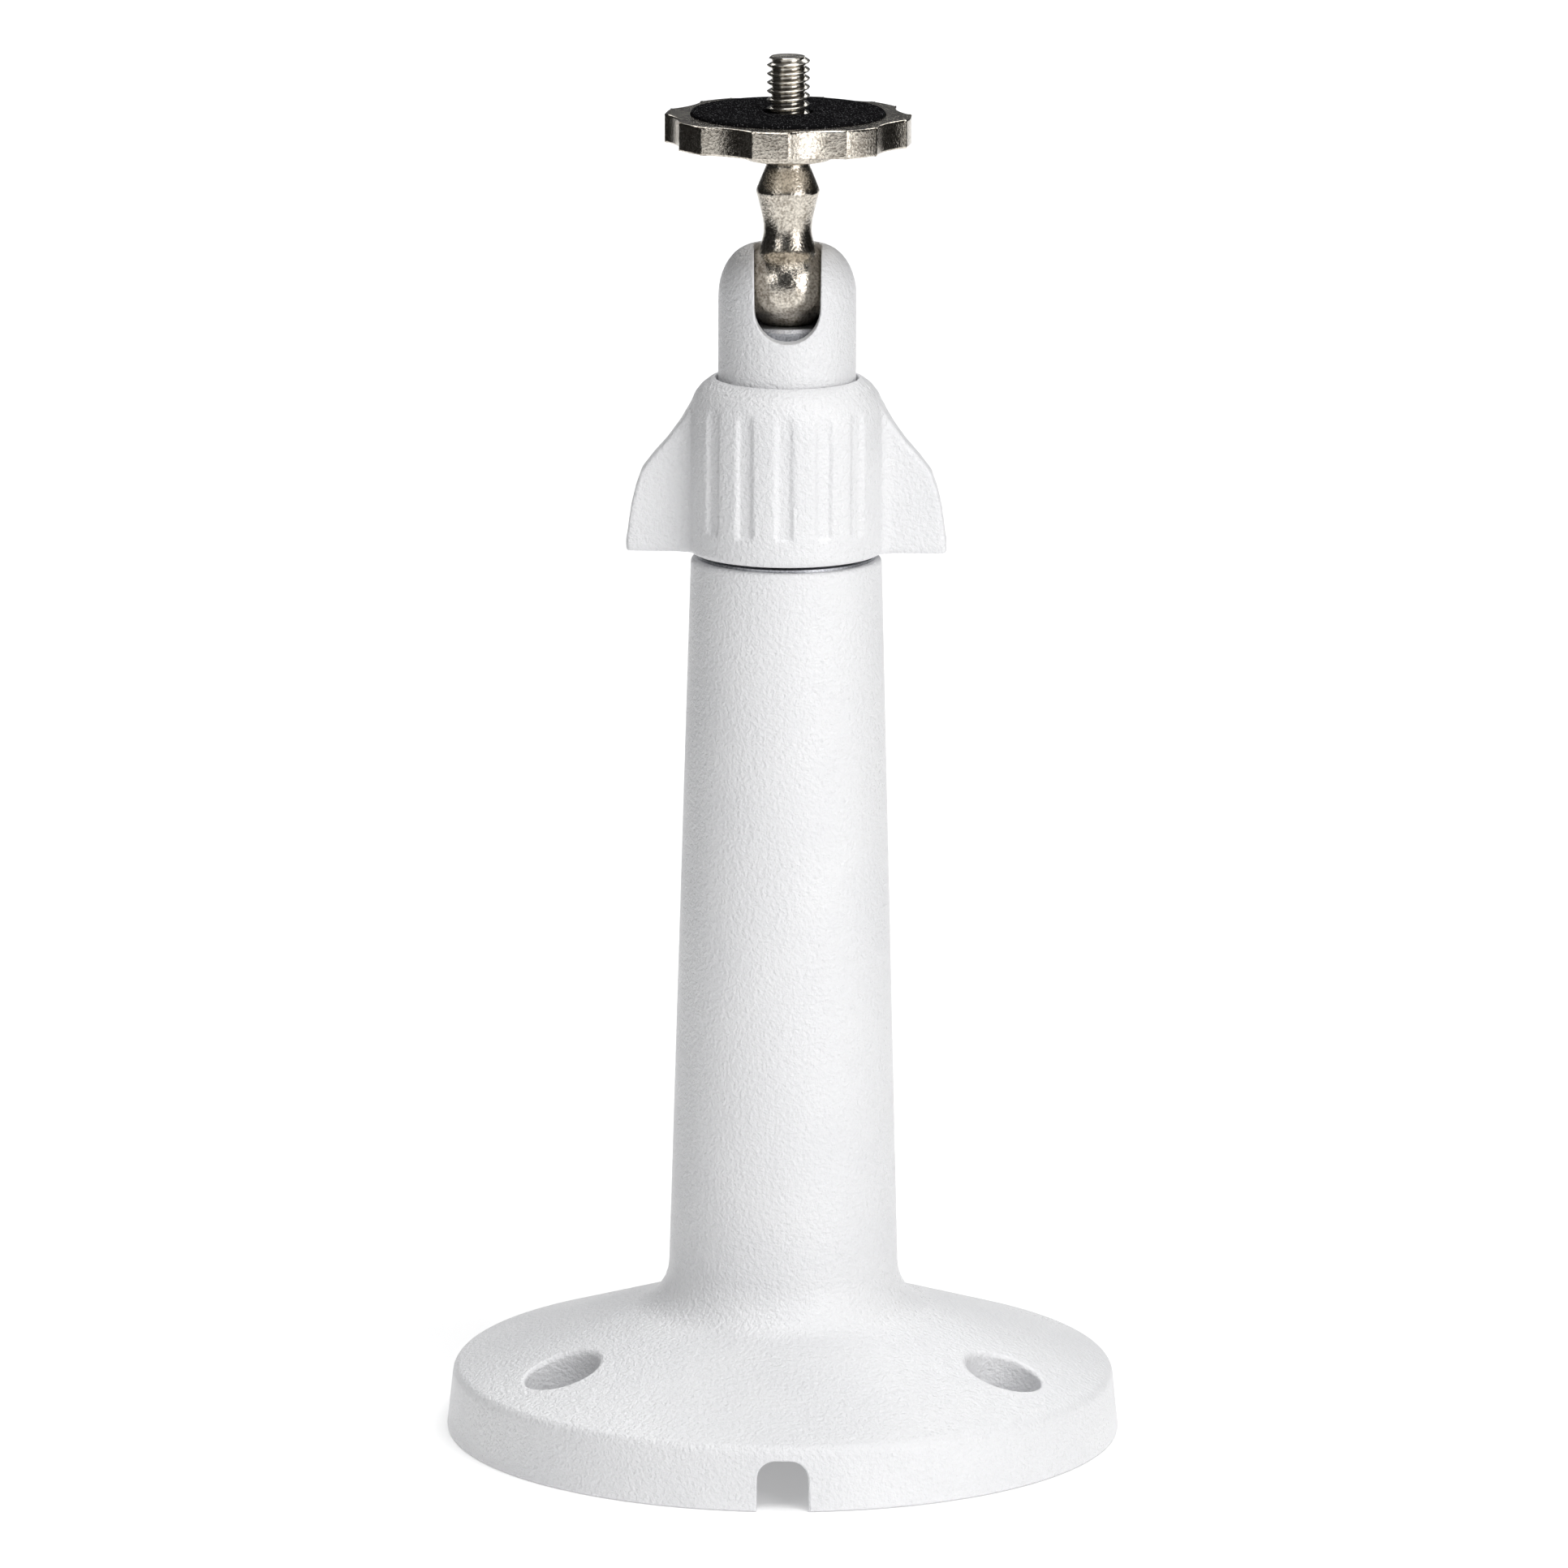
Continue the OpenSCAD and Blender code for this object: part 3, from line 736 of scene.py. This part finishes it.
def makeThread(s):
    # a true helix, one tooth drawn and screwed up the axis, then cut level at both ends
    lowZ, highZ, pitch, root, crest = s["footZ"], s["tipZ"], s["pitch"], s["rootR"], s["crestR"]
    tooth = [  # radius, and height as a share of the pitch
        (root, 0.0), (root + 0.02, 0.12), (crest - 0.06, 0.42), (crest, 0.47),
        (crest, 0.53), (crest - 0.06, 0.58), (root + 0.02, 0.88), (root, 1.0)]
    start = lowZ - 2 * pitch
    piece = drawProfile("cameraScrew", [(r, start + z * pitch) for r, z in tooth])
    editOff()
    applyModifier(
        piece, "SCREW", axis="Z", angle=math.tau, screw_offset=mm(pitch), steps=s["sides"],
        render_steps=s["sides"], iterations=int((highZ - lowZ) / pitch) + 4,
        use_smooth_shade=True)
    editOn(piece)
    weldDoubles()
    for height, isTop in ((lowZ, False), (highZ, True)):
        bpy.ops.mesh.select_all(action="SELECT")
        bpy.ops.mesh.bisect(
            plane_co=(0, 0, mm(height)), plane_no=(0, 0, 1), threshold=mm(0.001), use_fill=True,
            clear_inner=not isTop, clear_outer=isTop)
    faceOutwards()
    return piece


def makeCameraScrew():
    s = screw
    piece = makeThread(s)
    outside = s["crestR"] + 0.3
    envelope = turnOnLathe("envelope", [
        (0, s["footZ"] - 1), (outside, s["footZ"] - 1),
        (outside, s["tipZ"] - s["chamfer"] - 0.3),
        (s["crestR"] - s["chamfer"], s["tipZ"]), (0, s["tipZ"])], steps=64)
    combine(piece, envelope, "INTERSECT")
    shank = turnOnLathe("shank", [
        (0, s["shankZ"]), (s["shankR"], s["shankZ"], 0.3),
        (s["shankR"], s["footZ"] + 0.4), (0, s["footZ"] + 0.4)], steps=48)
    combine(piece, shank, "UNION")
    shadeSmooth(piece, 38)
    giveFinish(piece, screwNickel)
    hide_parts("camera_screw")
    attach(piece, "stud")
    print("camera screw", len(piece.data.polygons))


makeCameraScrew()

# lock disc

disc = {
    "rimR": 18, "lowZ": 192.8, "highZ": 197.0, "hubR": 6.7, "hubZ": 190.45, "boreR": 3.25,
    "padR": 14.3, "padZ": 196.2, "lobes": 8, "share": 0.615, "scallopR": 12,
    "firstLobe": -98, "edge": 0.35}


def isRidge(point, halfScallop):
    # on the rim where a scallop meets a lobe
    if abs(math.hypot(point.x, point.y) - disc["rimR"]) > 0.05:
        return False
    pitch = math.tau / disc["lobes"]
    angle = (math.atan2(point.y, point.x) - math.radians(disc["firstLobe"]) - pitch / 2) % pitch
    angle = min(angle, pitch - angle)
    return abs(angle - halfScallop) < 0.006


def bevelDisc():
    bpy.ops.mesh.bevel(
        offset=mm(disc["edge"]), segments=3, affect="EDGES", clamp_overlap=False)


def makeLockDisc():
    d = disc
    piece = turnOnLathe("lockDisc", [
        (d["boreR"], d["hubZ"]), (d["hubR"], d["hubZ"], 0.7), (d["hubR"], d["lowZ"], 0.4),
        (d["rimR"], d["lowZ"]), (d["rimR"], d["highZ"]), (d["padR"], d["highZ"]),
        (d["padR"], d["padZ"]), (d["boreR"], d["padZ"])], steps=192)
    halfScallop = math.pi / d["lobes"] * d["share"]
    away = d["rimR"] * math.cos(halfScallop) + math.sqrt(
        d["scallopR"] ** 2 - (d["rimR"] * math.sin(halfScallop)) ** 2)
    scoop = turnOnLathe("scoop", [
        (0, d["lowZ"] - 1), (d["scallopR"], d["lowZ"] - 1),
        (d["scallopR"], d["highZ"] + 1), (0, d["highZ"] + 1)], steps=144)
    moveAlongX(scoop, away)
    turns = [d["firstLobe"] + (i + 0.5) * 360 / d["lobes"] for i in range(d["lobes"])]
    combine(piece, joinCopies(scoop, turns), "DIFFERENCE")
    editOn(piece)
    near, tall, rimZone = 0.01, d["highZ"] - d["lowZ"], 15.5
    # the upright ridges first, then both rims
    pick(piece, "EDGE", lambda a, b: abs(abs(a.z - b.z) - tall) < near
         and isRidge(a, halfScallop))
    bevelDisc()
    pick(piece, "EDGE", lambda a, b: abs(a.z - b.z) < near
         and min(math.hypot(a.x, a.y), math.hypot(b.x, b.y)) > rimZone
         and (abs(a.z - d["highZ"]) < near or abs(a.z - d["lowZ"]) < near))
    bevelDisc()
    editOff()
    shadeSmooth(piece, 30)
    giveFinish(piece, nickel)
    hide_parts("lock_disc")
    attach(piece, "disc")
    print("lock disc", len(piece.data.polygons))


makeLockDisc()

# grip pad

pad = {"outerR": 14.2, "innerR": 3.55, "lowZ": 196.2, "highZ": 197.55}


def makeGripPad():
    p = pad
    low, high = p["lowZ"], p["highZ"]
    piece = turnOnLathe("gripPad", [
        (p["innerR"], low), (p["outerR"], low), (p["outerR"], high, 0.45),
        (p["outerR"] - 1.4, high - 0.02), (p["innerR"] + 1.2, high - 0.06),
        (p["innerR"], high - 0.04, 0.3)], steps=144)
    shadeSmooth(piece, 35)
    giveFinish(piece, rubber)
    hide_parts("grip_pad")
    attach(piece, "pad")
    print("grip pad", len(piece.data.polygons))


makeGripPad()

# parts that keep their CAD shape

coatNode("spigot", aluminium)
coatNode("ball_seat", aluminium)
coatNode("spigot_bolt", zinc)
coatNode("bolt_washer", zinc)
coatNode("slip_washer", nylon)
print("CAD nodes coated")

# studio: lengths in metres, angles in degrees

studio = {
    "lens": 270, "sensor": 36, "distance": 1.733, "elevation": 11.95, "roll": 0.24,
    "target": (-0.0002, 0, 0.0973), "floorSize": 12, "floorGlow": 0.2,
    "floorColour": (0.93, 0.93, 0.93, 1), "clothColour": (0.02, 0.02, 0.02, 1),
    "worldColour": (0.85, 0.87, 0.90, 1), "worldStrength": 0.09}

# name, place, what it points at, width, height, watts, colour
softBoxes = [
    ("keyRight", (1.03, -1.16, 0.51), (0, 0, 0.10), 0.9, 1.1, 11.8, (1.0, 0.99, 0.985)),
    ("fillLeft", (-0.85, -0.95, 0.70), (0, 0, 0.12), 0.34, 0.6, 1.7, (1.0, 1.0, 1.0)),
    ("overhead", (0.12, -0.32, 1.25), (0, 0, 0.0), 0.9, 0.9, 11.2, (1.0, 1.0, 1.0)),
    ("backdropLight", (0, 1.7, 1.5), (0, 1.7, 0), 2.2, 1.2, 30.0, (1.0, 1.0, 1.0))]

# name, place, length, height: dark cards at the sides, which give the bare metal dark edges
sideCards = [
    ("cardLeft", (-0.38, 0.08, 0.35), 0.8, 0.7),
    ("cardRight", (0.46, 0.25, 0.25), 0.6, 0.5)]


def makeStudio():
    s = studio
    deselectAll()
    bpy.ops.mesh.primitive_plane_add(size=s["floorSize"], location=(0, 0, -0.0001))
    floor = bpy.context.object
    floor.name = "studioFloor"
    pale = Finish("palePaper", IOR=1.4, Roughness=0.9, Emission_Strength=s["floorGlow"])
    pale.wear(Base_Color=s["floorColour"], Emission_Color=(1, 1, 1, 1))
    giveFinish(floor, pale)

    elevation = math.radians(s["elevation"])
    target = mathutils.Vector(s["target"])
    away = mathutils.Vector((0, -math.cos(elevation), math.sin(elevation)))
    place = target + away * s["distance"]
    bpy.ops.object.camera_add(location=place)
    camera = bpy.context.object
    camera.name = "studioCamera"
    pitch = mathutils.Matrix.Rotation(math.pi / 2 - elevation, 4, "X")
    roll = mathutils.Matrix.Rotation(math.radians(s["roll"]), 4, "Z")
    camera.rotation_euler = (pitch @ roll).to_euler()
    camera.data.lens = s["lens"]
    camera.data.sensor_width = s["sensor"]
    camera.data.clip_start = 0.05
    camera.data.clip_end = 30
    bpy.context.scene.camera = camera

    cloth = Finish("blackCloth", IOR=1.3, Roughness=0.95)
    cloth.wear(Base_Color=s["clothColour"])
    for name, place, length, height in sideCards:
        bpy.ops.mesh.primitive_plane_add(size=1, location=place, rotation=(0, math.pi / 2, 0))
        card = bpy.context.object
        card.name = name
        card.scale = (height, length, 1)
        card.visible_camera = False  # it only darkens reflections, and hides nothing
        card.visible_shadow = False
        giveFinish(card, cloth)

    for name, place, aim, width, height, watts, colour in softBoxes:
        bpy.ops.object.light_add(type="AREA", location=place)
        lamp = bpy.context.object
        lamp.name = name
        lamp.data.shape = "RECTANGLE"
        lamp.data.size = width
        lamp.data.size_y = height
        lamp.data.energy = watts
        lamp.data.color = colour
        look = mathutils.Vector(aim) - mathutils.Vector(place)
        lamp.rotation_euler = look.to_track_quat("-Z", "Y").to_euler()

    world = bpy.data.worlds.new("studioWorld")
    bpy.context.scene.world = world
    world.use_nodes = True
    background = world.node_tree.nodes["Background"]
    background.inputs[0].default_value = s["worldColour"]
    background.inputs[1].default_value = s["worldStrength"]
    bpy.context.scene.view_settings.view_transform = "Standard"
    print("studio ready")


makeStudio()
deselectAll()
